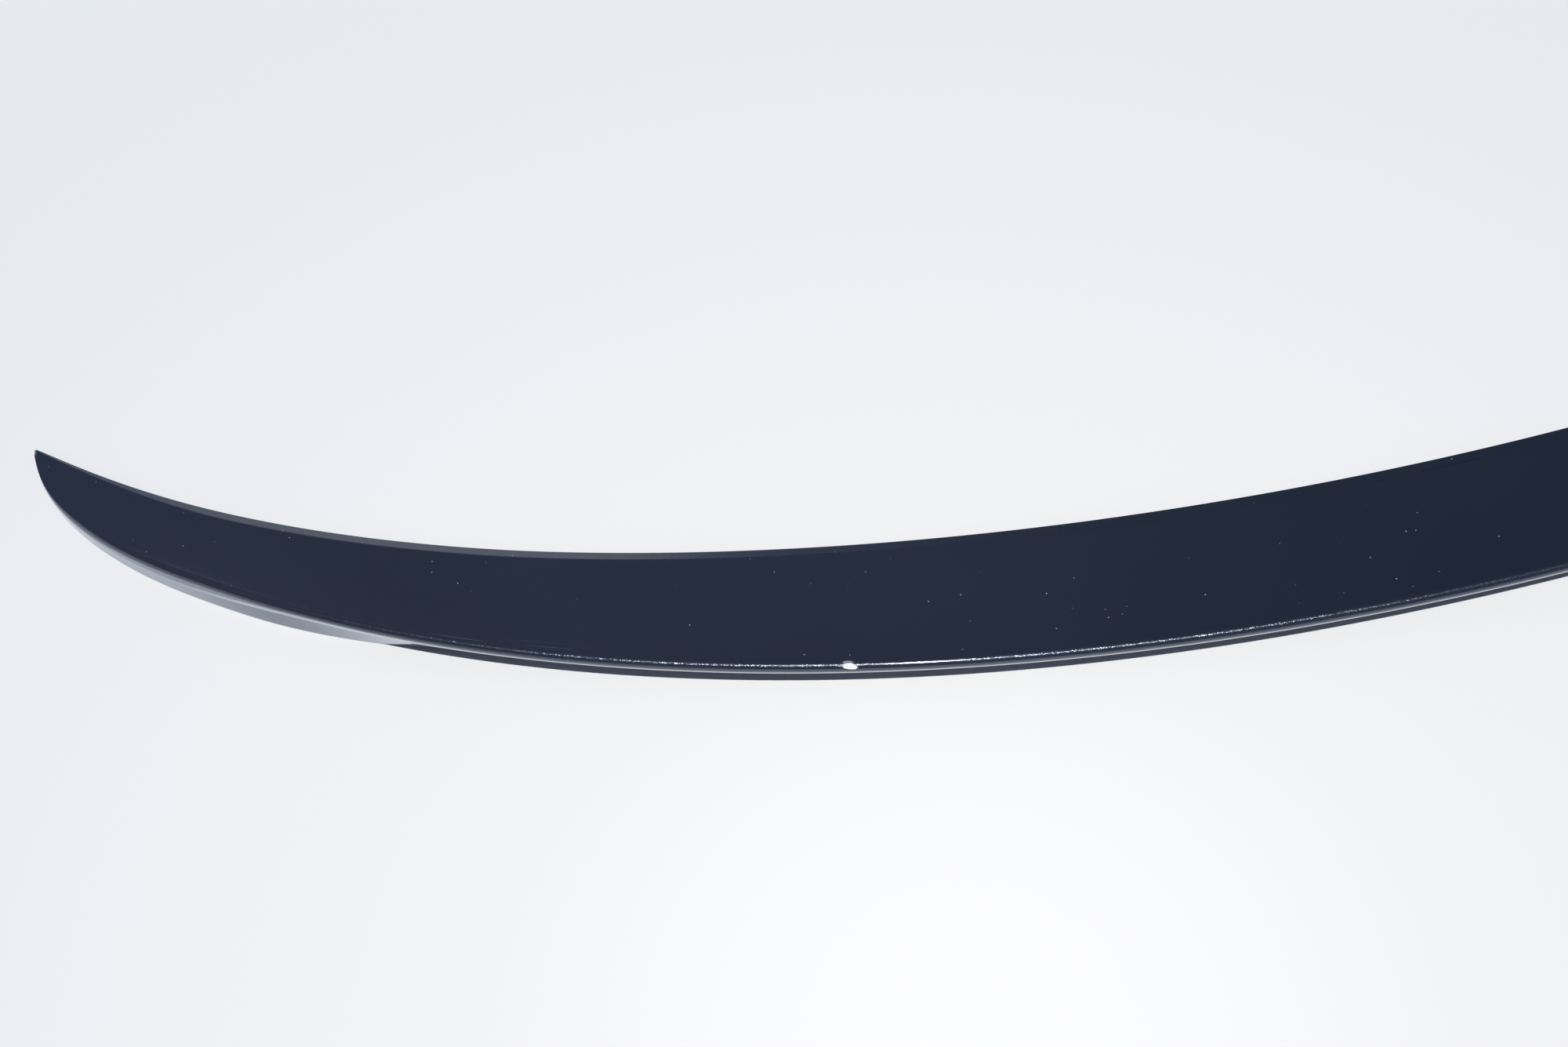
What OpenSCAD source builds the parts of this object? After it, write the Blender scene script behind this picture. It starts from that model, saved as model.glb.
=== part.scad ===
// Boot-lid lip spoiler: one painted moulding, hollow from below, bonded along its two lands.
// It lies at rest on its rear land, with the front edge lifted. X runs across the car,
// +Y points to the front of the car and +Z up. The origin is under the middle of its box.

/* [Plan] */
// Width across the car, from tip to tip
span = 1200; // [1000:10:1400]
// Depth from the front edge to the lip, at the middle of the car
mid_chord = 71.4; // [62:0.2:84]
// How much of that depth is gone at the start of the rounded tip and beyond
tip_taper = 30.6; // [20:0.2:34]
// Length of the rounded tip, along X
tip_round = 64; // [50:1:70]
// Radius of the tip's front corner, seen from above
corner_r = 1.6; // [0.6:0.1:1.8]
// Even bow of the front edge, middle to tip
edge_bow = 108.5; // [60:0.5:140]
// Further sweep of the front edge over the car's shoulder
shoulder_sweep = 30; // [10:1:60]
// Hook of the last stretch before the tip
tip_hook = 23.5; // [5:0.5:35]

/* [Lip] */
// Height of the sharp corner that the lip is rounded from
lip_height = 23.6; // [21:0.2:28]
// Height of the lip's blunt nose, from that corner down
nose_drop = 4.6; // [3.8:0.1:5.4]
// Lean of the nose, from upright
nose_angle = 4; // [0:0.5:7]
// Radius of the lip's roll
lip_r = 2.8; // [1.6:0.1:3]
// Height of the overhanging band under the nose, across the middle
band_drop = 2.8; // [2:0.1:4]
// Height of that band on the end blades
band_drop_end = 5.4; // [3:0.1:6.4]
// Angle of the band, from upright
band_angle = 20; // [16:0.5:26]
// Angle that is left of it at the tip
band_angle_tip = 11; // [8:0.5:15]
// Height of the whole lip where it runs out at the tip
tip_height = 4; // [3:0.1:5.5]
// Length, measured from the tip, over which the lip drops
drop_len = 85; // [70:1:140]
// Sag of the main face below a straight line, which makes it hollow like a duck's tail
face_hollow = 1.3; // [0:0.1:2.5]

/* [Rear wall] */
// Lean of the undercut rear wall, across the middle
wall_lean = 39; // [34:0.5:42]
// Lean of the end blades
blade_lean = 2.5; // [1:0.5:8]
// Lean of the blades' last stretch, at the tip
tip_lean = 10; // [4:0.5:15]
// Length of each end blade, measured from the tip
blade_len = 70; // [50:1:110]
// Length over which the undercut fades into the blade
blade_blend = 135; // [80:1:160]

/* [Front edge] */
// Thickness of the front edge
edge_t = 1.6; // [1.4:0.1:2.4]
// Width of the bevel along the front edge
bevel_w = 6; // [4:0.2:7]
// Share of that width that is left at the tip
bevel_tip = 0.45; // [0.4:0.05:1]
// Drop of that bevel towards the tips
bevel_drop = 3.1; // [2:0.1:3.6]
// Drop of that bevel at the middle of the car
bevel_drop_mid = 1.2; // [0.8:0.1:2]
// Angle by which the front edge is lifted off the floor
lift_angle = 8; // [5:0.5:10]

/* [Underside] */
// Wall left between the hollow and the painted face
wall = 3; // [2.2:0.1:3.6]
// Width of the land along the foot, which is bonded to the lid
rear_land = 9; // [7:0.5:11]
// Width of the land along the front edge
front_land = 12; // [9:0.5:15]
// Length of the solid end past the hollow, measured from the tip
solid_len = 75; // [72:1:110]
// Lean of the hollow's upright walls, measured at their top
draft = 0.8; // [0.4:0.1:1.5]
// Number of cross ribs in the hollow
rib_n = 9; // [5:2:11]
// Thickness of a cross rib
rib_t = 2.2; // [1.6:0.1:3.5]

/* [Hidden] */
paint = [0.16, 0.19, 0.25];
half_span = span / 2;
taper_power = 2.8;
tip_power = 3.1;      // superellipse power of the rounded tip, seen from above
shoulder_power = 4;
hook_power = 10;
drop_power = 2.65;
fade_from = 105;      // distance from the tip where the nose and the band start to fade
fade_to = 45;         // distance from the tip where they have faded
nose_share = 0.4;     // share of the height that the nose takes at the tip
band_share = 0.15;    // share of it that the band takes there
bevel_fade_len = 75;  // length, measured from the tip, over which the bevel narrows
foot_soft = 0.7;      // how far the soft corner along the foot reaches to each side
nose_soft = 0.5;      // the same under the nose
edge_soft = 0.6;      // the same along the thin front edge
bevel_soft = 1.8;     // the same between the main face and the bevel
knee_soft = 0.9;      // the same along the knee
least_soft = 0.3;     // share of that reach that is left at the tip
least_bevel = 0.25;   // share of the tip's bevel that is left where the section closes
roll_share = 0.8;     // the most of the nose that the lip's roll takes
soft_share = 0.2;     // the most of a side that a soft corner takes
nose_soft_share = 0.12; // the most of a side that the soft corner under the nose takes
cut_share = 0.4;      // the most of the depth that the rounded front corner takes
bevel_fade = 0.55;    // share of the half span past which the bevel is fully open
end_bay = 0.56;       // length of the last bay, past the last rib, as a share of a full bay
roll_steps = 9;       // segments round the lip
soft_steps = 3;       // segments round each other corner
bay_steps = 7;        // stations between two ribs
end_steps = 4;        // stations in the last bay
tip_steps = 12;       // stations round the tip
tip_last = 88.2;      // the tip's last station, in degrees round its superellipse
rib_lean = 0.5;       // how far each rib's side leans, so that it leaves the mould
least_depth = 0.6;    // least depth of the hollow that is still cut

function clamp(v) = max(0, min(1, v));
function smooth(v) = let (c = clamp(v)) c * c * (3 - 2 * c);
function mix(a, b, t) = a + (b - a) * t;
function share(x) = abs(x) / half_span;

// Front edge, seen from above
function front_y(x) =
    edge_bow * share(x) ^ 2 + shoulder_sweep * share(x) ^ shoulder_power + tip_hook * share(x) ^ hook_power;

// Closing of the section round the tip, from 1 down to nearly 0
function tip_close(x) =
    let (t = clamp((abs(x) - half_span + tip_round) / tip_round)) (1 - t ^ tip_power) ^ (1 / tip_power);
function chord(x) = (mid_chord - tip_taper * share(x) ^ taper_power) * tip_close(x);

// Depth that the rounded front corner takes off
function corner_cut(x) =
    let (t = clamp((abs(x) - half_span + corner_r) / corner_r))
    min(corner_r * (1 - sqrt(1 - t ^ 2)), cut_share * chord(x));

// Share of the full height that the lip has at x
function height_share(x) =
    mix(1, tip_height / lip_height, clamp((abs(x) - half_span + drop_len) / drop_len) ^ drop_power);

// From 0 across the middle to 1 on the end blades, and from 0 to 1 over the last stretch of a blade
function in_blade(x) = smooth((abs(x) - half_span + blade_len + blade_blend) / blade_blend);
function in_tip(x) = smooth((abs(x) - half_span + fade_from) / (fade_from - fade_to));

// Points round the sharp corner b of the path a, b, c, on a circle of radius r. Where the side c is
// short, as towards the tips, the circle is smaller, so that it still ends on that side.
function roll(a, b, c, r, steps) =
    let (
        u = (a - b) / norm(a - b),
        v = (c - b) / norm(c - b),
        half = acos(u * v) / 2,
        reach = min(r / tan(half), norm(a - b) * 0.4, norm(c - b) * roll_share),
        centre = b + (u + v) / norm(u + v) * reach / cos(half),
        from = b + u * reach - centre,
        turn = 180 - 2 * half
    )
    [for (i = [0:steps])
        let (w = turn * i / steps)
        centre + [from[0] * cos(w) - from[1] * sin(w), from[0] * sin(w) + from[1] * cos(w)]];

// Points round the slight corner b, on a parabola that leaves a-b and b-c at the given reach
function soft(a, b, c, reach, steps, most = soft_share) =
    let (
        u = (a - b) / norm(a - b) * min(reach, norm(a - b) * most),
        v = (c - b) / norm(c - b) * min(reach, norm(c - b) * most)
    )
    [for (i = [0:steps]) b + u * (1 - i / steps) ^ 2 + v * (i / steps) ^ 2];

// The point that lies the given drop below p, forward of it by the lean times w
function below(p, drop, lean, w) = p + [drop * tan(lean) * w, -drop];

// The section at x, as [forward of the lip, height]. open is true where the hollow is cut.
function section(x, open) =
    let (
        k = height_share(x),
        c = chord(x) - corner_cut(x),
        w = tip_close(x) * c / chord(x),
        f = max(w, least_soft),
        blade = in_blade(x),
        tip = in_tip(x),
        lip = [0, lip_height * k],
        nose = below(lip, mix(nose_drop * k, nose_share * lip[1], tip), nose_angle, w),
        band = mix(mix(band_drop, band_drop_end, blade) * k, band_share * lip[1], tip),
        knee = below(nose, band, mix(band_angle, band_angle_tip, tip), w),
        foot = below(knee, knee[1], mix(mix(wall_lean, blade_lean, blade), tip_lean, tip), w),
        land_in = foot + [rear_land * w, 0],
        under = (c - land_in[0]) * tan(lift_angle),
        edge_low = [c, under],
        edge_top = [c, under + edge_t],
        narrow = mix(1, bevel_tip, smooth((abs(x) - half_span + bevel_fade_len) / bevel_fade_len))
            * max(w, least_bevel),
        fall = mix(bevel_drop_mid, bevel_drop, smooth(share(x) / bevel_fade)) * min(narrow, k * 1.4),
        bevel = edge_top + [-bevel_w * narrow, fall],
        waist = (bevel + lip) / 2 - [0, face_hollow * k * w],
        land_out = edge_low - (edge_low - land_in) * front_land * w / norm(edge_low - land_in),
        roof = function(s) mix(waist[1], s < waist[0] ? lip[1] : bevel[1],
            s < waist[0] ? (waist[0] - s) / (waist[0] - lip[0]) : (s - waist[0]) / (bevel[0] - waist[0])) - wall,
        deep = function(p, lean) let (s = p[0] + lean)
            [s, open ? max(roof(s), p[1] + least_depth) : p[1]],
        middle = (land_in + land_out) / 2
    )
    concat(
        soft(land_out, edge_low, edge_top, edge_soft * f, 1),
        soft(edge_low, edge_top, bevel, edge_soft * f, soft_steps),
        soft(edge_top, bevel, waist, bevel_soft * f, soft_steps),
        [waist],
        roll(waist, lip, nose, lip_r, roll_steps),
        soft(lip, nose, knee, nose_soft * f, 1, nose_soft_share),
        soft(nose, knee, foot, knee_soft * f, 1),
        soft(knee, foot, land_in, foot_soft * f, 1),
        [land_in, deep(land_in, open ? draft : 0), deep(middle, 0), deep(land_out, open ? -draft : 0), land_out]
    );

// Stations along one half: [distance from the middle, whether the hollow is open there]
hollow_end = half_span - solid_len;
rib_half = rib_t / 2;
rib_pitch = hollow_end / ((rib_n - 1) / 2 + end_bay);
rib_x = [for (i = [0:(rib_n - 1) / 2]) i * rib_pitch];
rib_last = rib_x[len(rib_x) - 1];
bay_stations = [for (i = [0:len(rib_x) - 2]) for (j = [1:bay_steps])
    [mix(rib_x[i] + rib_half + rib_lean, rib_x[i + 1] - rib_half - rib_lean, j / (bay_steps + 1)), true]];
function rib_stations(x) = [
    [x - rib_half - rib_lean, true], [x - rib_half, false],
    [x + rib_half, false], [x + rib_half + rib_lean, true]];
end_stations = concat(
    [for (j = [1:end_steps]) [mix(rib_last + rib_half + rib_lean, hollow_end, j / end_steps), true]],
    [[hollow_end + rib_lean, false]],
    [for (j = [0:tip_steps])
        [half_span - tip_round * (1 - sin(tip_last * j / tip_steps) ^ (2 / tip_power)), false]]);
function sorted(list) = len(list) < 2 ? list :
    let (p = list[floor(len(list) / 2)][0])
    concat(sorted([for (s = list) if (s[0] < p) s]), [for (s = list) if (s[0] == p) s],
        sorted([for (s = list) if (s[0] > p) s]));
half_stations = sorted(concat([for (x = rib_x) for (s = rib_stations(x)) if (s[0] > 0) s],
    bay_stations, end_stations));
stations = concat([for (i = [len(half_stations) - 1:-1:0]) [-half_stations[i][0], half_stations[i][1]]],
    half_stations);

// The origin lies halfway between the rear of the lip and the foremost points of the tips
rear_most = min([for (p = section(0, false)) p[0]]) - mid_chord;
front_most = max([for (s = stations) front_y(s[0]) - corner_cut(s[0])]);
centre_y = (rear_most + front_most) / 2;

// A closed skin round the sections of all stations, with a flat cap at each tip. The left half
// splits its faces the other way, so that the two halves mirror each other.
module spoiler_moulding() {
    rings = [for (s = stations) let (x = s[0], back = front_y(x) - chord(x))
        [for (p = section(x, s[1])) [x, back + p[0] - centre_y, p[1]]]];
    n = len(rings[0]);
    last = len(rings) - 1;
    skin = [for (i = [0:last - 1]) for (j = [0:n - 1])
        let (a = i * n + j, b = i * n + (j + 1) % n)
        each i < last / 2 ? [[a, a + n, b + n], [a, b + n, b]] : [[a, a + n, b], [b, a + n, b + n]]];
    color(paint)
        polyhedron(
            points = [for (r = rings) each r],
            faces = concat(skin, [[for (j = [0:n - 1]) j]], [[for (j = [n - 1:-1:0]) last * n + j]]),
            convexity = 6);
}

spoiler_moulding();
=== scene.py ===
import math

import bmesh
import bpy
import numpy as np
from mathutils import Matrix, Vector


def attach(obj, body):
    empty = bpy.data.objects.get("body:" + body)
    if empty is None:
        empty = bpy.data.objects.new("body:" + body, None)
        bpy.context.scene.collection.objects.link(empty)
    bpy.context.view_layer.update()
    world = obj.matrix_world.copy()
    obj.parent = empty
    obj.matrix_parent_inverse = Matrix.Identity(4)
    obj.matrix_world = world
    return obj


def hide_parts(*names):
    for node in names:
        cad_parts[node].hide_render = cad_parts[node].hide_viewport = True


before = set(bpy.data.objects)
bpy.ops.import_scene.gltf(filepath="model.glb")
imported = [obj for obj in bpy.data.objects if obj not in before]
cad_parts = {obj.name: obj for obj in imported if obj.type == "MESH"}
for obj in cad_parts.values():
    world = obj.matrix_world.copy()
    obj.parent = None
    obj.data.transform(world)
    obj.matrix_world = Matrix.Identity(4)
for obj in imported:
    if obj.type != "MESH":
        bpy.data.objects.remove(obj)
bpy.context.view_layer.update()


def putNode(tree, kind, at, **settings):
    # a new node of that kind at that place in the editor
    node = tree.nodes.new(kind)
    node.location = at
    for name, value in settings.items():
        setattr(node, name, value)
    return node


def setInputs(node, **values):
    # sockets by name, with _ for a blank
    for name, value in values.items():
        node.inputs[name.replace("_", " ")].default_value = value
    return node


def mathNode(tree, at, operation, a, b=None, clamp=False):
    # one math step; a number is set on the socket, a socket is linked to it
    node = putNode(tree, "ShaderNodeMath", at, operation=operation, use_clamp=clamp)
    for socket, value in zip(node.inputs, (a, b)):
        if value is None:
            continue
        if isinstance(value, (int, float)):
            socket.default_value = value
        else:
            tree.links.new(value, socket)
    return node.outputs[0]


def rampNode(tree, at, factor, low, high, outLow=0.0, outHigh=1.0):
    # smooth step of factor from low..high to outLow..outHigh
    node = putNode(tree, "ShaderNodeMapRange", at, interpolation_type="SMOOTHSTEP")
    setInputs(node, From_Min=low, From_Max=high, To_Min=outLow, To_Max=outHigh)
    tree.links.new(factor, node.inputs["Value"])
    return node.outputs["Result"]


def mixColour(tree, at, factor, a, b):
    # colour a where factor is 0 and b where it is 1
    node = putNode(tree, "ShaderNodeMix", at, data_type="RGBA")
    for socket, value in ((node.inputs[0], factor), (node.inputs[6], a), (node.inputs[7], b)):
        if isinstance(value, bpy.types.NodeSocket):
            tree.links.new(value, socket)
        elif isinstance(value, (int, float)):
            socket.default_value = value
        else:
            socket.default_value = (*value, 1.0)
    return node.outputs[2]


def newGroup(name, inputs, outputs):
    # a node group with named sockets, and its two end nodes
    group = bpy.data.node_groups.new(name, "ShaderNodeTree")
    for label, kind, value in inputs:
        socket = group.interface.new_socket(label, in_out="INPUT", socket_type=kind)
        socket.default_value = value
    for label, kind in outputs:
        group.interface.new_socket(label, in_out="OUTPUT", socket_type=kind)
    start = putNode(group, "NodeGroupInput", (-1200, 0))
    end = putNode(group, "NodeGroupOutput", (900, 0))
    return group, start, end


def useGroup(tree, group, at, **values):
    # the group placed in a material with its own values
    node = putNode(tree, "ShaderNodeGroup", at, node_tree=group)
    return setInputs(node, **values)


moulding = {  # lengths in mm, angles in degrees
    "span": 1200.0, "midChord": 71.4, "tipTaper": 30.6, "taperPower": 2.8,
    "tipRound": 64.0, "tipPower": 3.1, "cornerRadius": 1.6, "cutShare": 0.4,
    "edgeBow": 108.5, "shoulderSweep": 30.0, "shoulderPower": 4.0,
    "tipHook": 23.5, "hookPower": 10.0,
    "lipHeight": 23.6, "tipHeight": 4.0, "dropLength": 85.0, "dropPower": 2.65, "faceHollow": 1.3,
    "noseDrop": 4.6, "noseAngle": 4.0, "lipRadius": 2.8, "noseShare": 0.4, "bandShare": 0.15,
    "bandDrop": 2.8, "bandDropEnd": 5.4, "bandAngle": 20.0, "bandAngleTip": 11.0,
    "wallLean": 39.0, "bladeLean": 2.5, "tipLean": 10.0,
    "bladeLength": 70.0, "bladeBlend": 135.0, "fadeFrom": 105.0, "fadeTo": 45.0,
    "edgeThickness": 1.6, "bevelWidth": 6.0, "bevelTip": 0.45, "bevelFadeLength": 75.0,
    "leastBevel": 0.25, "bevelDrop": 3.1, "bevelDropMiddle": 1.2, "bevelFade": 0.55, "bevelSteepest": 1.4,
    "liftAngle": 8.0, "wall": 3.0, "rearLand": 9.0, "frontLand": 12.0, "solidLength": 75.0,
    "draft": 0.8, "ribCount": 9, "ribThickness": 2.2, "ribLean": 0.5, "endBay": 0.56, "leastDepth": 0.6,
    "footSoft": 0.7, "noseSoft": 0.5, "edgeSoft": 0.6, "bevelSoft": 1.8, "kneeSoft": 0.65,
    "leastSoft": 0.3, "softShare": 0.2, "noseSoftShare": 0.12, "rollFaceShare": 0.4, "rollNoseShare": 0.8,
    "stationGap": 3.0, "tipStations": 44, "tipLast": 88.2, "fineFaceFrom": 0.965,
    "sharpAngle": 32.0, "mergeDistance": 0.002,
}

steps = {  # points that each part of the section is drawn with
    "edgeFoot": 5, "edgeHead": 6, "bevel": 5, "bevelCorner": 10, "face": 35, "fineFace": 12, "roll": 34,
    "nose": 6, "band": 3, "knee": 8, "wall": 8, "foot": 6, "land": 2, "roof": 12,
}

chip = {  # stone chip on the lip's roll, in mm; along is X and across runs down over the roll
    "along": -287.2, "across": 2.35, "halfLength": 2.8, "halfWidth": 1.45,
    "waves": ((2, 0.08, 0.2), (3, 0.07, -0.5), (8, 0.03, 0.0)),
    "depth": 0.20, "wallWidth": 0.35, "rim": 0.06, "rimAt": 1.05, "rimWidth": 0.10,
    # the tail's pale tint is partly a painted highlight, where the lamp's glint widens into the chip
    "tailFrom": 0.5, "tailLength": 5.0, "tailWidth": 0.5, "tailRise": 0.6, "tailDepth": 0.03,
    "tailEdge": 0.2, "tailFade": 4.0, "tailPaintedHighlight": 0.35,
    "floorAt": 1.03, "floorEdge": 0.08, "outlineFrom": 0.95,
    "capAlong": -0.4, "capAcross": -1.6, "capLength": 2.3, "capWidth": 1.2, "capEdge": 0.25,
    "capRise": 0.04, "capLine": 0.12, "capLineShare": 0.7,
    "reach": 9.0, "reachAcross": 3.4, "margin": 0.5, "gap": 0.14,
}


def smoothStep(v):
    # 3v^2 - 2v^3, held to 0..1
    c = np.clip(v, 0.0, 1.0)
    return c * c * (3.0 - 2.0 * c)


def planLines(s, x):
    # front edge = bow a^2 + sweep a^4 + hook a^10 with a = |x| / half span; the chord shrinks as
    # a^taperPower and closes on a superellipse over the rounded tip; a circle cuts the front corner
    half = s["span"] / 2
    a = np.abs(x) / half
    front = s["edgeBow"] * a**2 + s["shoulderSweep"] * a**s["shoulderPower"]
    front = front + s["tipHook"] * a**s["hookPower"]
    t = np.clip((np.abs(x) - half + s["tipRound"]) / s["tipRound"], 0.0, 1.0)
    close = (1 - t**s["tipPower"]) ** (1 / s["tipPower"])
    chord = (s["midChord"] - s["tipTaper"] * a**s["taperPower"]) * close
    t = np.clip((np.abs(x) - half + s["cornerRadius"]) / s["cornerRadius"], 0.0, 1.0)
    cut = np.minimum(s["cornerRadius"] * (1 - np.sqrt(1 - t**2)), s["cutShare"] * chord)
    drop = np.clip((np.abs(x) - half + s["dropLength"]) / s["dropLength"], 0.0, 1.0) ** s["dropPower"]
    height = 1 + (s["tipHeight"] / s["lipHeight"] - 1) * drop
    return a, front, close, chord, cut, height


def mix(a, b, t):
    # a where t is 0, b where it is 1
    return a + (b - a) * t


def below(p, drop, lean, close):
    # the point that lies drop under p, forward of it by the lean
    return p + pairs(drop * np.tan(np.radians(lean)) * close, -drop)


def pairs(a, b):
    # two rows of numbers as one row of 2-D points
    return np.stack([a + 0 * b, b + 0 * a], axis=-1)


def lengthOf(v):
    # length of each vector of a row
    return np.linalg.norm(v, axis=-1)


def unit(v):
    # each vector of a row made 1 long
    return v / lengthOf(v)[..., None]


def between(a, b, count):
    # count evenly spaced points from a to b, without a and b themselves
    t = (np.arange(1, count + 1) / (count + 1))[None, :, None]
    return a[:, None, :] * (1 - t) + b[:, None, :] * t


def softCorner(a, b, c, reach, count, most):
    # parabola b + u (1-t)^2 + v t^2 that leaves both sides of the corner b at the same reach
    u = unit(a - b) * np.minimum(reach, lengthOf(a - b) * most)[:, None]
    v = unit(c - b) * np.minimum(reach, lengthOf(c - b) * most)[:, None]
    t = np.linspace(0, 1, count + 1)[None, :, None]
    return b[:, None, :] + u[:, None, :] * (1 - t) ** 2 + v[:, None, :] * t**2


def rollCorner(s, a, b, c, radius, count):
    # circle that touches both sides of the corner b; its first point is turned about its centre
    u, v = unit(a - b), unit(c - b)
    halfAngle = np.arccos((u * v).sum(-1)) / 2
    reach = np.minimum(radius / np.tan(halfAngle), lengthOf(a - b) * s["rollFaceShare"])
    reach = np.minimum(reach, lengthOf(c - b) * s["rollNoseShare"])
    centre = b + unit(u + v) * (reach / np.cos(halfAngle))[:, None]
    first = b + u * reach[:, None] - centre
    w = (np.pi - 2 * halfAngle)[:, None] * np.linspace(0, 1, count + 1)[None, :]
    x, z = first[:, 0, None], first[:, 1, None]
    turned = np.stack([x * np.cos(w) - z * np.sin(w), x * np.sin(w) + z * np.cos(w)], -1)
    return centre[:, None, :] + turned


def sectionRings(s, n, x, openAt):
    # closed outline of the section at each x, as (forward of the lip, height): nose, knee and foot lie
    # below the lip by their drops and leans, and the front edge at the chord, raised by the lift angle;
    # the face is a parabola through its waist, the lip a circle arc, other corners short parabolas
    a, front, fullClose, fullChord, cut, k = planLines(s, x)
    away = np.abs(x) - s["span"] / 2
    chord = fullChord - cut
    close = fullClose * chord / fullChord
    soft = np.maximum(close, s["leastSoft"])
    blade = smoothStep((away + s["bladeLength"] + s["bladeBlend"]) / s["bladeBlend"])
    tip = smoothStep((away + s["fadeFrom"]) / (s["fadeFrom"] - s["fadeTo"]))
    zero = 0 * x
    lip = pairs(zero, s["lipHeight"] * k)
    nose = below(lip, mix(s["noseDrop"] * k, s["noseShare"] * lip[:, 1], tip), s["noseAngle"], close)
    band = mix(mix(s["bandDrop"], s["bandDropEnd"], blade) * k, s["bandShare"] * lip[:, 1], tip)
    knee = below(nose, band, mix(s["bandAngle"], s["bandAngleTip"], tip), close)
    foot = below(knee, knee[:, 1], mix(mix(s["wallLean"], s["bladeLean"], blade), s["tipLean"], tip), close)
    landIn = foot + pairs(s["rearLand"] * close, zero)
    under = (chord - landIn[:, 0]) * np.tan(np.radians(s["liftAngle"]))
    edgeLow, edgeTop = pairs(chord, under), pairs(chord, under + s["edgeThickness"])
    narrow = mix(1.0, s["bevelTip"], smoothStep((away + s["bevelFadeLength"]) / s["bevelFadeLength"]))
    narrow = narrow * np.maximum(close, s["leastBevel"])
    fall = mix(s["bevelDropMiddle"], s["bevelDrop"], smoothStep(a / s["bevelFade"]))
    fall = fall * np.minimum(narrow, k * s["bevelSteepest"])
    bevel = edgeTop + pairs(-s["bevelWidth"] * narrow, fall)
    waist = (bevel + lip) / 2 - pairs(zero, s["faceHollow"] * k * close)
    pull = 2 * waist - (bevel + lip) / 2
    along = (edgeLow - landIn) / lengthOf(edgeLow - landIn)[:, None]
    landOut = edgeLow - along * (s["frontLand"] * close)[:, None]

    most = s["softShare"]
    bevelCorner = softCorner(edgeTop, bevel, pull, s["bevelSoft"] * soft, n["bevelCorner"], most)
    roll = rollCorner(s, pull, lip, nose, s["lipRadius"], n["roll"])
    fine = s["fineFaceFrom"]
    t = np.concatenate([np.linspace(0, fine, n["face"])[1:], np.linspace(fine, 1, n["fineFace"])[1:-1]])
    t = t[None, :, None]
    face = bevelCorner[:, -1:, :] * (1 - t) ** 2 + pull[:, None, :] * 2 * t * (1 - t)
    face = face + roll[:, :1, :] * t**2

    # roof of the hollow: the face's straight lines lowered by the wall, where the section is open
    reach = np.linspace(0, 1, n["roof"])[None, :]
    lean = np.where(openAt, s["draft"], 0.0)[:, None]
    start, end = landIn[:, 0, None] + lean, landOut[:, 0, None] - lean
    across = start + (end - start) * reach
    base = landIn[:, 1, None] + (landOut - landIn)[:, 1, None] * (across - landIn[:, 0, None]) \
        / (landOut - landIn)[:, 0, None]
    rear = (waist[:, 0, None] - across) / (waist[:, 0] - lip[:, 0])[:, None]
    ahead = (across - waist[:, 0, None]) / (bevel[:, 0] - waist[:, 0])[:, None]
    roof = waist[:, 1, None] + np.where(rear > 0, (lip - waist)[:, 1, None] * rear,
                                        (bevel - waist)[:, 1, None] * ahead) - s["wall"]
    roof = np.where(openAt[:, None], np.maximum(roof, base + s["leastDepth"]), base)

    parts = [
        ("edgeFoot", softCorner(landOut, edgeLow, edgeTop, s["edgeSoft"] * soft, n["edgeFoot"], most)),
        ("edgeHead", softCorner(edgeLow, edgeTop, bevel, s["edgeSoft"] * soft, n["edgeHead"], most)),
        ("bevel", between(edgeTop, bevel, n["bevel"])),
        ("bevelCorner", bevelCorner),
        ("face", face),
        ("roll", roll),
        ("nose", softCorner(lip, nose, knee, s["noseSoft"] * soft, n["nose"], s["noseSoftShare"])),
        ("band", between(nose, knee, n["band"])),
        ("knee", softCorner(nose, knee, foot, s["kneeSoft"] * soft, n["knee"], most)),
        ("wall", between(knee, foot, n["wall"])),
        ("foot", softCorner(knee, foot, landIn, s["footSoft"] * soft, n["foot"], most)),
        ("land", np.concatenate([between(foot, landIn, n["land"]), landIn[:, None, :]], axis=1)),
        ("roof", np.stack([across, roof], -1)),
        ("frontLand", np.concatenate([landOut[:, None, :], between(landOut, edgeLow, n["land"])], axis=1)),
    ]
    starts, at = {}, 0
    for name, points in parts:
        starts[name] = at
        at += points.shape[1]
    return np.concatenate([points for _, points in parts], axis=1), starts, front - fullChord


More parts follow.
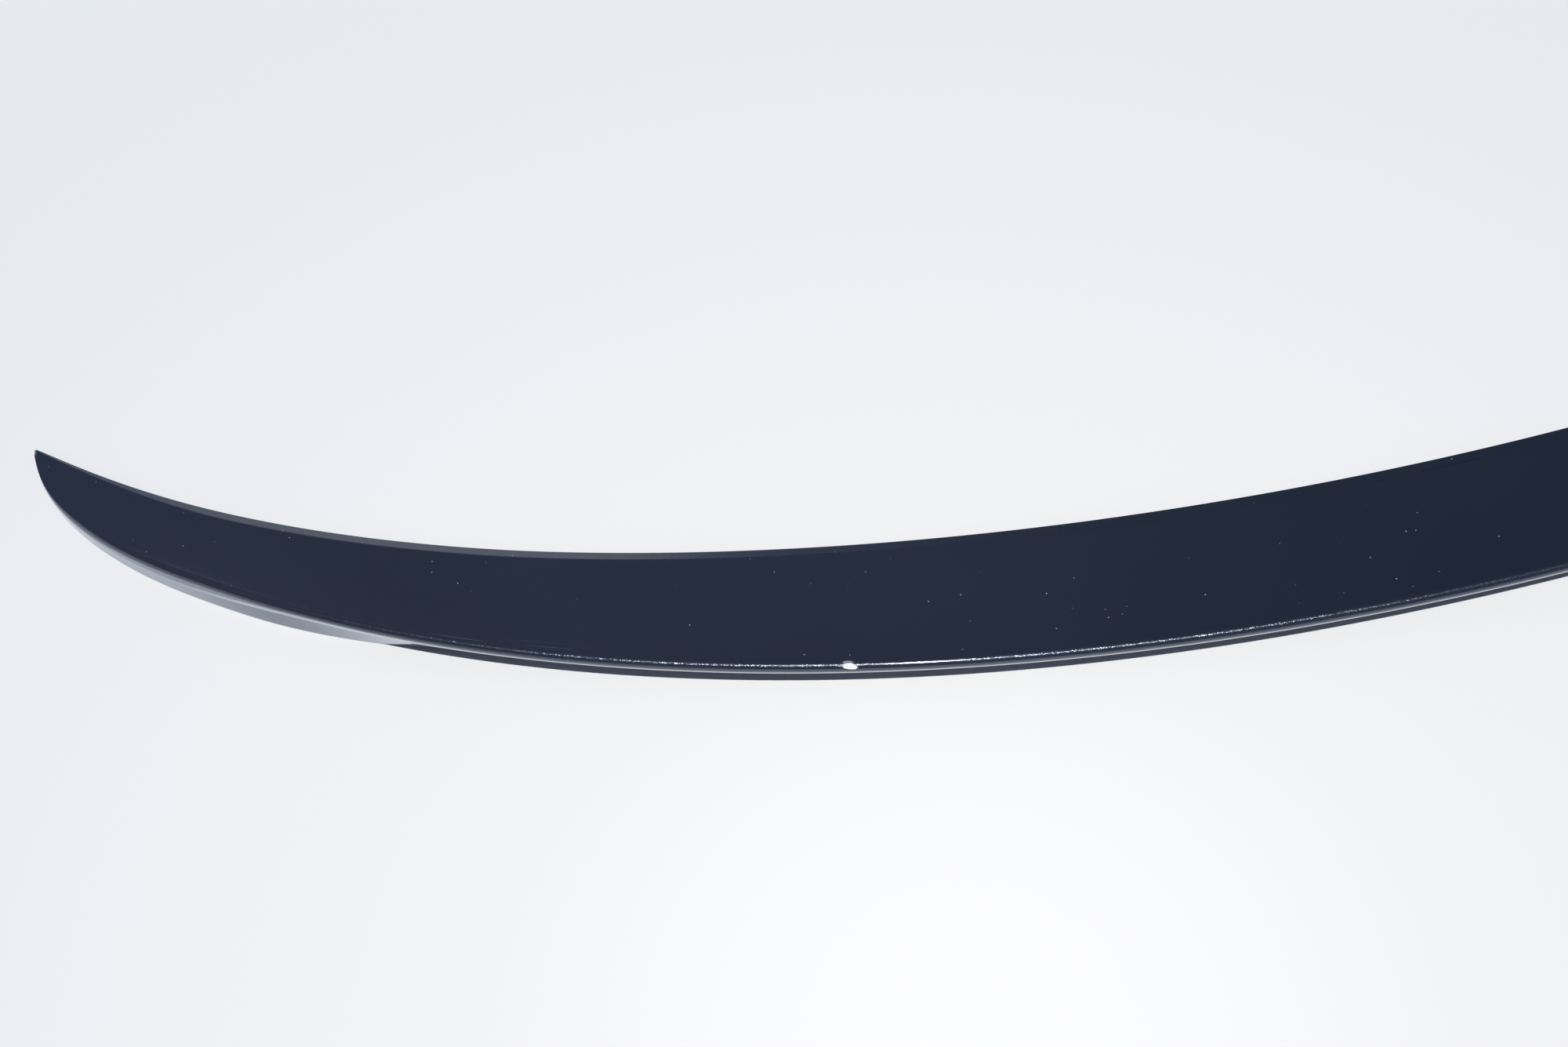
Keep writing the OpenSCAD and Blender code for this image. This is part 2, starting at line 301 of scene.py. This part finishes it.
def stationRow(s, c):
    # x of every section from tip to tip and whether the hollow is open there
    half, lean, ribHalf = s["span"] / 2, s["ribLean"], s["ribThickness"] / 2
    hollowEnd = half - s["solidLength"]
    pitch = hollowEnd / ((s["ribCount"] - 1) / 2 + s["endBay"])
    marks = []
    for i in range((s["ribCount"] + 1) // 2):
        marks += [(i * pitch + d, flag) for d, flag in
                  ((-ribHalf - lean, True), (-ribHalf, False), (ribHalf, False), (ribHalf + lean, True))]
    marks += [(hollowEnd, True), (hollowEnd + lean, False)]
    angles = np.radians(s["tipLast"]) * np.linspace(0, 1, s["tipStations"])
    marks += [(float(v), False) for v in half - s["tipRound"] * (1 - np.sin(angles) ** (2 / s["tipPower"]))]
    marks = [m for m in marks if m[0] > 0]
    marks = sorted([(-v, flag) for v, flag in marks] + marks)
    row = [marks[0]]
    for (x0, open0), (x1, open1) in zip(marks, marks[1:]):
        nearChip = x0 < c["along"] < x1 and open0 and open1
        stops = [x0, x1]
        if nearChip:
            stops = [x0, c["along"] - c["reach"], c["along"] + c["reach"], x1]
        for i, (lo, hi) in enumerate(zip(stops, stops[1:])):
            gap = c["gap"] if nearChip and i == 1 else s["stationGap"]
            count = max(1, math.ceil((hi - lo) / gap)) if open0 == open1 else 1
            row += [(v, open0 if v < hi - 1e-9 else (open1 if hi == x1 else open0))
                    for v in np.linspace(lo, hi, count + 1)[1:]]
    return np.array([r[0] for r in row]), np.array([r[1] for r in row])


def chipMarks(c, dx, dv):
    # bowl with a raised rim where e, the elliptic distance over three small waves of the angle, is
    # near 1, a narrowing tail towards -X that climbs to the ridge, a shallow scrape whose pale tint is
    # partly a painted highlight where the lamp's glint widens into the chip, and a cap of lifted clear coat
    angle = np.arctan2(dv / c["halfWidth"], dx / c["halfLength"])
    uneven = 1 + sum(height * np.sin(turns * angle + phase) for turns, height, phase in c["waves"])
    e = np.sqrt((dx / c["halfLength"]) ** 2 + (dv / c["halfWidth"]) ** 2) / uneven
    bowl = -c["depth"] * smoothStep((1.0 - e) / c["wallWidth"])
    rim = np.exp(-(((e - c["rimAt"]) / c["rimWidth"]) ** 2))
    t = (-dx - c["tailFrom"] * c["halfLength"]) / c["tailLength"]
    half = c["halfWidth"] * c["tailWidth"] * np.clip(1 - t, 0, 1)
    inTail = smoothStep((half - np.abs(dv + c["tailRise"] * np.clip(t, 0, 1))) / c["tailEdge"])
    inTail = inTail * (t > 0) * smoothStep((1 - t) * c["tailFade"])
    # the chip's bare floor, and along the tail a pale tint that is partly a painted highlight
    inside = np.maximum(smoothStep((c["floorAt"] - e) / c["floorEdge"]), c["tailPaintedHighlight"] * inTail)
    capX, capV = (dx - c["capAlong"]) / c["capLength"], (dv - c["capAcross"]) / c["capWidth"]
    cap = np.sqrt(capX**2 + capV**2)
    lifted = smoothStep((1.0 - cap) / c["capEdge"]) * (1 - inside)
    capLine = np.exp(-(((cap - 1.0) / c["capLine"]) ** 2)) * (1 - inside)
    depth = bowl + c["rim"] * rim - c["tailDepth"] * inTail + c["capRise"] * lifted
    outline = np.maximum(rim * (e > c["outlineFrom"]) * (1 - inTail), c["capLineShare"] * capLine)
    return depth, inside, outline, lifted


def storeVectors(mesh, name, *parts):
    # three numbers for each point, kept in the mesh under that name
    values = np.stack(parts, -1).astype(np.float32)
    mesh.attributes.new(name, "FLOAT_VECTOR", "POINT").data.foreach_set("vector", values.ravel())


def mouldingMesh(s, n, c):
    # the section's outline carried along X, each one set back so that its front edge follows the plan
    x, openAt = stationRow(s, c)
    ring, starts, back = sectionRings(s, n, x, openAt)
    middle, _, middleBack = sectionRings(s, n, np.zeros(1), np.array([False]))
    rearmost = middle[0, :, 0].min() + middleBack[0]
    tips = planLines(s, x)
    centre = (rearmost + (tips[1] - tips[4]).max()) / 2
    rows, count = ring.shape[:2]
    forward = back[:, None] + ring[:, :, 0] - centre
    points = np.stack([np.repeat(x[:, None], count, 1), forward, ring[:, :, 1]], -1)

    # distance along the section, 0 where the roll starts and growing down over it
    step = np.linalg.norm(np.diff(points, axis=1), axis=-1)
    walked = np.concatenate([np.zeros((rows, 1)), np.cumsum(step, axis=1)], axis=1)
    walked = walked - walked[:, starts["roll"], None]

    # the chip moves points along the surface's own normal, taken from the grid
    alongX, alongS = np.gradient(points, axis=0), np.gradient(points, axis=1)
    normal = np.cross(alongS, alongX)
    normal = normal / np.maximum(np.linalg.norm(normal, axis=-1, keepdims=True), 1e-9)
    dx, dv = points[:, :, 0] - c["along"], walked - c["across"]
    near = (np.abs(dx) < c["reach"] - c["margin"]) & (np.abs(dv) < c["reachAcross"])
    depth, bareAndHighlight, rim, lifted = chipMarks(c, dx, dv)
    outward = np.sign(np.nan_to_num(normal[rows // 2, starts["roll"], 2]))
    points = points + normal * outward * np.where(near, depth, 0.0)[:, :, None]

    mesh = bpy.data.meshes.new("spoilerMoulding")
    index = np.arange(rows * count).reshape(rows, count)
    a, b = index[:-1, :], np.roll(index, -1, axis=1)[:-1, :]
    a2, b2 = index[1:, :], np.roll(index, -1, axis=1)[1:, :]
    quads = np.stack([a, b, b2, a2], -1).reshape(-1, 4)
    faces = quads.tolist() + [index[0, ::-1].tolist(), index[-1, :].tolist()]
    mesh.from_pydata((points.reshape(-1, 3) * 0.001).tolist(), [], faces)

    # paintMap holds X, the distance along the section and 1 on the underside; the chip map holds the
    # chip's bare floor together with the painted highlight along its tail, its outline and its lifted cap
    unpainted = np.zeros((rows, count))
    unpainted[:, starts["land"]:] = 1.0
    unpainted[:, :2] = 1.0
    storeVectors(mesh, "paintMap", points[:, :, 0], walked, unpainted)
    storeVectors(mesh, "wearAndHighlightMap", bareAndHighlight * near, rim * near, lifted * near)

    # sections at solid ribs have no hollow, so their doubled points are merged
    merge = s["mergeDistance"] * 0.001
    work = bmesh.new()
    work.from_mesh(mesh)
    bmesh.ops.remove_doubles(work, verts=work.verts, dist=merge)
    bmesh.ops.dissolve_degenerate(work, edges=work.edges, dist=merge / 20)
    bmesh.ops.recalc_face_normals(work, faces=work.faces)
    print("moulding: volume cm3", round(work.calc_volume(signed=True) * 1e6, 1),
          "open edges", sum(1 for e in work.edges if not e.is_manifold))
    work.to_mesh(mesh)
    work.free()
    mesh.shade_smooth()
    mesh.set_sharp_from_angle(angle=math.radians(s["sharpAngle"]))
    return mesh


effects = {  # settings inside the groups; the scuffs' fades are distances in mm along the section
    "raggedScale": 2500.0, "alongScale": 26.0, "acrossScale": 2.6, "level": (0.60, 0.68),
    "endFade": 0.012, "topFade": (-6.0, -4.0), "rollFade": (-0.8, 0.0),
}


def flakeGroup():
    # the surface's normal plus a random vector for each cell of a fine 3-D cell pattern
    group, start, end = newGroup("metallicFlakes", [
        ("Size", "NodeSocketFloat", 0.0002), ("Tilt", "NodeSocketFloat", 0.5),
    ], [("Normal", "NodeSocketVector")])
    links = group.links
    coords = putNode(group, "ShaderNodeTexCoord", (-1200, -300))
    scale = mathNode(group, (-1000, 200), "DIVIDE", 1.0, start.outputs["Size"])
    cells = putNode(group, "ShaderNodeTexVoronoi", (-800, 0), voronoi_dimensions="3D", feature="F1")
    links.new(coords.outputs["Object"], cells.inputs["Vector"])
    links.new(scale, cells.inputs["Scale"])
    random = putNode(group, "ShaderNodeTexWhiteNoise", (-560, -60), noise_dimensions="3D")
    links.new(cells.outputs["Position"], random.inputs["Vector"])
    centred = putNode(group, "ShaderNodeVectorMath", (-340, -60), operation="SUBTRACT")
    centred.inputs[1].default_value = (0.5, 0.5, 0.5)
    links.new(random.outputs["Color"], centred.inputs[0])
    scaled = putNode(group, "ShaderNodeVectorMath", (-120, -60), operation="SCALE")
    links.new(centred.outputs["Vector"], scaled.inputs[0])
    links.new(start.outputs["Tilt"], scaled.inputs["Scale"])
    geometry = putNode(group, "ShaderNodeNewGeometry", (-120, -260))
    added = putNode(group, "ShaderNodeVectorMath", (120, -60), operation="ADD")
    links.new(scaled.outputs["Vector"], added.inputs[0])
    links.new(geometry.outputs["Normal"], added.inputs[1])
    ready = putNode(group, "ShaderNodeVectorMath", (340, -60), operation="NORMALIZE")
    links.new(added.outputs["Vector"], ready.inputs[0])
    links.new(ready.outputs["Vector"], end.inputs["Normal"])
    return group


def speckGroup(s):
    # a dot where the distance to a cell's centre is under Radius times a random number and a
    # ragged noise, in the cells whose second random number is above 1 - Share
    group, start, end = newGroup("dustSpecks", [
        ("Spacing", "NodeSocketFloat", 0.01), ("Radius", "NodeSocketFloat", 0.03),
        ("Share", "NodeSocketFloat", 0.2),
    ], [("Mask", "NodeSocketFloat")])
    links = group.links
    coords = putNode(group, "ShaderNodeTexCoord", (-1200, -300))
    wobble = putNode(group, "ShaderNodeTexNoise", (-1000, -500))
    setInputs(wobble, Scale=s["raggedScale"], Detail=1.0)
    links.new(coords.outputs["Object"], wobble.inputs["Vector"])
    scale = mathNode(group, (-1000, 200), "DIVIDE", 1.0, start.outputs["Spacing"])
    cells = putNode(group, "ShaderNodeTexVoronoi", (-800, 0), voronoi_dimensions="3D", feature="F1")
    links.new(coords.outputs["Object"], cells.inputs["Vector"])
    links.new(scale, cells.inputs["Scale"])
    split = putNode(group, "ShaderNodeSeparateColor", (-560, 160))
    links.new(cells.outputs["Color"], split.inputs["Color"])
    threshold = mathNode(group, (-560, 340), "SUBTRACT", 1.0, start.outputs["Share"])
    chosen = mathNode(group, (-300, 340), "GREATER_THAN", split.outputs["Red"], threshold)
    size = mathNode(group, (-300, 160), "MULTIPLY", split.outputs["Green"], start.outputs["Radius"])
    ragged = mathNode(group, (-300, -60), "MULTIPLY", wobble.outputs["Fac"], size)
    doubled = mathNode(group, (-80, -60), "MULTIPLY", ragged, 2.0)
    inside = mathNode(group, (120, 60), "LESS_THAN", cells.outputs["Distance"], doubled)
    mask = mathNode(group, (320, 160), "MULTIPLY", inside, chosen)
    links.new(mask, end.inputs["Mask"])
    return group


def scuffGroup(s):
    # long thin streaks: noise stretched along X and squeezed across the section, taken above a
    # threshold, between X = From and X = To and within a few millimetres above the roll
    group, start, end = newGroup("ridgeScuffs", [
        ("From", "NodeSocketFloat", -0.45), ("To", "NodeSocketFloat", -0.39),
    ], [("Mask", "NodeSocketFloat")])
    links = group.links
    surface = putNode(group, "ShaderNodeAttribute", (-1200, -300), attribute_name="paintMap")
    split = putNode(group, "ShaderNodeSeparateXYZ", (-1000, -300))
    links.new(surface.outputs["Vector"], split.inputs["Vector"])
    along = mathNode(group, (-800, -200), "MULTIPLY", split.outputs["X"], 0.001)
    stretched = putNode(group, "ShaderNodeCombineXYZ", (-600, -300))
    across = split.outputs["Y"]
    links.new(mathNode(group, (-800, -400), "MULTIPLY", along, s["alongScale"]), stretched.inputs["X"])
    links.new(mathNode(group, (-800, -560), "MULTIPLY", across, s["acrossScale"]), stretched.inputs["Y"])
    noise = putNode(group, "ShaderNodeTexNoise", (-400, -300))
    setInputs(noise, Scale=1.0, Detail=2.0)
    links.new(stretched.outputs["Vector"], noise.inputs["Vector"])
    mask = rampNode(group, (-200, -300), noise.outputs["Fac"], *s["level"])
    first = mathNode(group, (-600, 300), "SUBTRACT", along, start.outputs["From"])
    last = mathNode(group, (-600, 140), "SUBTRACT", start.outputs["To"], along)
    ends = (0.0, s["endFade"])
    for i, (value, fade) in enumerate(((first, ends), (last, ends), (across, s["topFade"]))):
        inside = rampNode(group, (-200, 300 - 160 * i), value, *fade)
        mask = mathNode(group, (40 + 160 * i, 200), "MULTIPLY", mask, inside)
    above = rampNode(group, (300, -160), across, *s["rollFade"], 1.0, 0.0)
    links.new(mathNode(group, (640, 100), "MULTIPLY", mask, above), end.inputs["Mask"])
    return group


flakes = flakeGroup()
specks = speckGroup(effects)
scuffs = scuffGroup(effects)
print("paint effects ready: flakes, specks, scuffs")


paint = {
    "navy": (0.0190, 0.0240, 0.0348), "coatTint": (0.72, 0.84, 1.0),
    "driftScale": 9.0, "driftRange": (0.35, 0.65), "drift": 0.04,
    "flakeSize": 0.00024, "flakeTilt": 0.22, "flakeLevel": 0.55, "flakeRoughness": 0.205,
    "flakesBegin": (-4.0, -0.5), "flakesEnd": (3.5, 6.0), "baseIOR": 1.5,
    "coatRoughness": 0.065, "coatIOR": 1.43, "peelScale": 420.0, "peelDepth": 0.000008,
    "dust": (0.46, 0.48, 0.53), "dustSpacing": 0.0046, "dustRadius": 0.06, "dustShare": 0.6,
    "scuffFrom": -0.455, "scuffTo": -0.385, "scuffWhite": 0.14,
    "primerAndHighlight": (0.86, 0.87, 0.88), "primerRoughness": 0.8, "edgeGrey": (0.10, 0.10, 0.10),
    "capGrey": (0.40, 0.36, 0.32), "plastic": (0.044, 0.045, 0.049), "plasticRoughness": 0.52,
    "mottleScale": 60.0, "mottleRange": (0.35, 0.7), "mottleDark": 0.8, "mottleLight": 1.25,
}


def shade(colour, factor):
    # the colour made darker or lighter by one factor
    return tuple(v * factor for v in colour)


def paintMaterial(p):
    # navy base with flakes under a clear coat; bare dull plastic on the underside
    material = bpy.data.materials.new("navyMetallicPaint")
    material.use_nodes = True
    tree = material.node_tree
    links = tree.links
    shader = tree.nodes["Principled BSDF"]
    coords = putNode(tree, "ShaderNodeTexCoord", (-1500, 0))
    surface = putNode(tree, "ShaderNodeAttribute", (-1500, 400), attribute_name="paintMap")
    wear = putNode(tree, "ShaderNodeAttribute", (-1500, 700), attribute_name="wearAndHighlightMap")
    place = putNode(tree, "ShaderNodeSeparateXYZ", (-1300, 400))
    links.new(surface.outputs["Vector"], place.inputs["Vector"])
    marks = putNode(tree, "ShaderNodeSeparateXYZ", (-1300, 700))
    links.new(wear.outputs["Vector"], marks.inputs["Vector"])
    bareAndHighlight, outline, lifted = marks.outputs["X"], marks.outputs["Y"], marks.outputs["Z"]
    across, unpainted = place.outputs["Y"], place.outputs["Z"]
    painted = mathNode(tree, (-1100, -120), "SUBTRACT", 1.0, unpainted, clamp=True)
    coatKept = mathNode(tree, (-1100, 620), "SUBTRACT", 1.0, bareAndHighlight, clamp=True)

    glitter = useGroup(tree, flakes, (-1000, -300), Size=p["flakeSize"], Tilt=p["flakeTilt"])
    dust = useGroup(tree, specks, (-1000, -520), Spacing=p["dustSpacing"], Radius=p["dustRadius"],
                    Share=p["dustShare"])
    scuff = useGroup(tree, scuffs, (-1000, -760), From=p["scuffFrom"], To=p["scuffTo"])

    # colour: navy, drifting a little, then scuffs, dust, the chip's cap, its floor with the painted
    # highlight along its tail, and outline
    drift = putNode(tree, "ShaderNodeTexNoise", (-1000, 100))
    setInputs(drift, Scale=p["driftScale"], Detail=2.0)
    links.new(coords.outputs["Object"], drift.inputs["Vector"])
    lighter = rampNode(tree, (-860, 100), drift.outputs["Fac"], *p["driftRange"])
    body = mixColour(tree, (-700, 200), lighter, shade(p["navy"], 1 - p["drift"]),
                     shade(p["navy"], 1 + p["drift"]))
    dustHere = mathNode(tree, (-700, -420), "MULTIPLY", dust.outputs["Mask"], painted)
    scuffHere = mathNode(tree, (-700, -600), "MULTIPLY", scuff.outputs["Mask"], painted)
    scuffHere = mathNode(tree, (-700, -760), "MULTIPLY", scuffHere, p["scuffWhite"])
    body = mixColour(tree, (-540, 200), scuffHere, body, p["dust"])
    body = mixColour(tree, (-400, 200), dustHere, body, p["dust"])
    body = mixColour(tree, (-260, 200), lifted, body, p["capGrey"])
    # pale primer in the chip's floor, and a painted highlight along its tail
    body = mixColour(tree, (-120, 200), bareAndHighlight, body, p["primerAndHighlight"])
    body = mixColour(tree, (20, 200), outline, body, p["edgeGrey"])

    # underside: dark plastic, mottled
    mottle = putNode(tree, "ShaderNodeTexNoise", (-1000, 300))
    setInputs(mottle, Scale=p["mottleScale"], Detail=3.0)
    links.new(coords.outputs["Object"], mottle.inputs["Vector"])
    patches = rampNode(tree, (-860, 300), mottle.outputs["Fac"], *p["mottleRange"])
    plastic = mixColour(tree, (0, 60), patches, shade(p["plastic"], p["mottleDark"]),
                        shade(p["plastic"], p["mottleLight"]))
    body = mixColour(tree, (160, 200), unpainted, body, plastic)
    links.new(body, shader.inputs["Base Color"])

    # the flakes lie nearly flat, so together they act as one soft lobe under the clear coat; only
    # on the roll, where the lamp glints, do single flakes show
    rough = rampNode(tree, (-340, -120), bareAndHighlight, 0.0, 1.0, p["flakeRoughness"], p["primerRoughness"])
    dull = mathNode(tree, (-340, 20), "MULTIPLY", unpainted, p["plasticRoughness"] - p["flakeRoughness"])
    links.new(mathNode(tree, (-180, -60), "ADD", rough, dull), shader.inputs["Roughness"])
    setInputs(shader, Specular_IOR_Level=p["flakeLevel"])
    down = rampNode(tree, (-900, 420), across, *p["flakesBegin"])
    gone = rampNode(tree, (-900, 560), across, *p["flakesEnd"], 1.0, 0.0)
    onRoll = mathNode(tree, (-700, 480), "MULTIPLY", down, gone)
    turned = putNode(tree, "ShaderNodeMix", (-340, -300), data_type="VECTOR")
    geometry = putNode(tree, "ShaderNodeNewGeometry", (-560, -460))
    links.new(onRoll, turned.inputs[0])
    links.new(geometry.outputs["Normal"], turned.inputs[4])
    links.new(glitter.outputs["Normal"], turned.inputs[5])
    links.new(turned.outputs[1], shader.inputs["Normal"])

    # clear coat, gone on the underside, in the chip and under dust
    coat = mathNode(tree, (-340, -320), "SUBTRACT", coatKept, dustHere, clamp=True)
    fade = rampNode(tree, (-340, -480), unpainted, 0.0, 1.0, 1.0, 0.0)
    coat = mathNode(tree, (-180, -320), "MULTIPLY", coat, fade)
    links.new(coat, shader.inputs["Coat Weight"])
    setInputs(shader, Coat_Roughness=p["coatRoughness"], Coat_IOR=p["coatIOR"], IOR=p["baseIOR"],
              Coat_Tint=(*p["coatTint"], 1.0))

    # orange peel: low noise hills in the coat
    peel = putNode(tree, "ShaderNodeTexNoise", (-700, -700))
    setInputs(peel, Scale=p["peelScale"], Detail=1.5, Roughness=0.4)
    links.new(coords.outputs["Object"], peel.inputs["Vector"])
    hills = putNode(tree, "ShaderNodeBump", (-340, -700))
    setInputs(hills, Strength=1.0, Distance=p["peelDepth"])
    links.new(peel.outputs["Fac"], hills.inputs["Height"])
    links.new(hills.outputs["Normal"], shader.inputs["Coat Normal"])
    return material


spoiler = bpy.data.objects.new("spoiler_moulding_surface", mouldingMesh(moulding, steps, chip))
bpy.context.scene.collection.objects.link(spoiler)
spoiler.data.materials.append(paintMaterial(paint))
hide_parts("spoiler_moulding")
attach(spoiler, "root")
print("spoiler: faces", len(spoiler.data.polygons))


floor = {  # metres; a painted pool of light with painted shade around it; the fades are distances from the pool's centre
    "half": 40.0, "paintedPoolCentre": (-0.28, -0.24, 0.0), "paintedLightPool": (0.960, 0.959, 0.932), "paintedPoolFade": (0.02, 0.26),
    "colour": (0.868, 0.870, 0.855), "paintedFalloffFade": (0.20, 0.62), "paintedFalloff": (0.780, 0.796, 0.815),
    "roughness": 0.7,
}


def floorMesh(s):
    # flat square at z = 0, large enough to reach the backdrop in the views from low down
    mesh = bpy.data.meshes.new("paleFloor")
    h = s["half"]
    mesh.from_pydata([(-h, -h, 0), (h, -h, 0), (h, h, 0), (-h, h, 0)], [], [(0, 1, 2, 3)])
    return mesh


def floorMaterial(s):
    # pale board with painted light: a painted pool of light in front of the lip and painted shade, darker
    # and bluer, away from it
    material = bpy.data.materials.new("paleFloor")
    material.use_nodes = True
    tree = material.node_tree
    shader = tree.nodes["Principled BSDF"]
    coords = putNode(tree, "ShaderNodeTexCoord", (-900, 0))
    middle = putNode(tree, "ShaderNodeVectorMath", (-700, 0), operation="DISTANCE")
    middle.inputs[1].default_value = s["paintedPoolCentre"]
    tree.links.new(coords.outputs["Object"], middle.inputs[0])
    # painted pool of light near its centre, painted shade towards the far edges
    near = rampNode(tree, (-500, 160), middle.outputs["Value"], *s["paintedPoolFade"])
    paintedFalloff = rampNode(tree, (-500, -100), middle.outputs["Value"], *s["paintedFalloffFade"])
    inner = mixColour(tree, (-300, 120), near, s["paintedLightPool"], s["colour"])
    tree.links.new(mixColour(tree, (-140, 0), paintedFalloff, inner, s["paintedFalloff"]), shader.inputs["Base Color"])
    setInputs(shader, Roughness=s["roughness"], Specular_IOR_Level=0.0)
    return material


floorPiece = bpy.data.objects.new("pale_floor", floorMesh(floor))
bpy.context.scene.collection.objects.link(floorPiece)
floorPiece.data.materials.append(floorMaterial(floor))
print("floor laid")


studio = {  # band angles are elevations in degrees; the other limits are parts of a unit direction
    "keyAzimuth": 2.25, "keyElevation": 71.5, "keyAngle": 1.0, "keyPower": 3.00,
    "keyColour": (1.0, 0.995, 0.985), "keyDistance": 4.0,
    "horizon": (0.78, 0.80, 0.86), "bandTop": (6.0, 10.0), "bandFoot": (1.8, 3.2), "footShare": 0.6,
    "bandRight": (0.190, 0.212), "overhead": (0.133, 0.137, 0.208), "dark": (0.012, 0.014, 0.020),
    "darkRight": (0.20, 0.44), "near": (0.120, 0.135, 0.200), "farSide": (-0.1, 0.3),
    "backdrop": (0.79, 0.81, 0.87),
}


def directionFrom(azimuth, elevation):
    # unit vector towards a viewer at that azimuth and elevation; azimuth 0 stands at -Y
    az, el = math.radians(azimuth), math.radians(elevation)
    return np.array([math.sin(az) * math.cos(el), -math.cos(az) * math.cos(el), math.sin(el)])


def pointAt(target, away, distance):
    # rotation and place of a lamp or camera that looks along -away at target
    place = Vector((np.array(target) + away * distance).tolist())
    turn = (Vector(target) - place).to_track_quat("-Z", "Y").to_euler()
    return place, turn


def buildStudio(s):
    # one distant lamp, wide enough for a soft edge to its shadow
    lamp = bpy.data.lights.new("keyLamp", "SUN")
    lamp.angle = math.radians(s["keyAngle"])
    lamp.energy = s["keyPower"]
    lamp.color = s["keyColour"]
    key = bpy.data.objects.new("key_lamp", lamp)
    away = directionFrom(s["keyAzimuth"], s["keyElevation"])
    key.location, key.rotation_euler = pointAt((0.0, 0.0, 0.0), away, s["keyDistance"])
    bpy.context.scene.collection.objects.link(key)

    # world: dim blue above, darker to the right, a bright strip low on the far side that ends right of
    # the middle, and a soft fill on the near side; the camera itself sees a pale backdrop
    world = bpy.data.worlds.new("studioWorld")
    bpy.context.scene.world = world
    world.use_nodes = True
    tree = world.node_tree
    background = tree.nodes["Background"]
    coords = putNode(tree, "ShaderNodeTexCoord", (-1100, 0))
    split = putNode(tree, "ShaderNodeSeparateXYZ", (-900, 0))
    tree.links.new(coords.outputs["Generated"], split.inputs["Vector"])
    top = [math.sin(math.radians(angle)) for angle in s["bandTop"]]
    foot = [math.sin(math.radians(angle)) for angle in s["bandFoot"]]
    low = rampNode(tree, (-700, 0), split.outputs["Z"], *top, 1.0, 0.0)
    rise = rampNode(tree, (-700, 180), split.outputs["Z"], *foot, s["footShare"], 1.0)
    low = mathNode(tree, (-500, 120), "MULTIPLY", low, rise)
    left = rampNode(tree, (-700, -280), split.outputs["X"], *s["bandRight"], 1.0, 0.0)
    far = rampNode(tree, (-700, -560), split.outputs["Y"], *s["farSide"])
    band = mathNode(tree, (-560, -280), "MULTIPLY", low, left)
    band = mathNode(tree, (-500, -120), "MULTIPLY", band, far)
    right = rampNode(tree, (-700, 560), split.outputs["X"], *s["darkRight"])
    sky = mixColour(tree, (-500, 300), right, s["overhead"], s["dark"])
    sky = mixColour(tree, (-400, 160), far, s["near"], sky)
    sky = mixColour(tree, (-300, 0), band, sky, s["horizon"])
    path = putNode(tree, "ShaderNodeLightPath", (-700, 320))
    seen = mixColour(tree, (-220, 0), path.outputs["Is Camera Ray"], sky, s["backdrop"])
    tree.links.new(seen, background.inputs["Color"])
    background.inputs["Strength"].default_value = 1.0


buildStudio(studio)
print("studio lit")


view = {"azimuth": -14.632, "elevation": 60.0, "distance": 1.2029, "lens": 64.266, "sensorWidth": 36.0,
        "target": (-0.29306, -0.0003, 0.0)}


def buildCamera(v):
    # stands where the photograph was taken from
    camera = bpy.data.cameras.new("photoCamera")
    camera.sensor_fit = "HORIZONTAL"
    camera.sensor_width = v["sensorWidth"]
    camera.lens = v["lens"]
    piece = bpy.data.objects.new("photo_camera", camera)
    away = directionFrom(v["azimuth"], v["elevation"])
    piece.location, piece.rotation_euler = pointAt(v["target"], away, v["distance"])
    bpy.context.scene.collection.objects.link(piece)
    bpy.context.scene.camera = piece


buildCamera(view)
bpy.context.scene.view_settings.view_transform = "Standard"
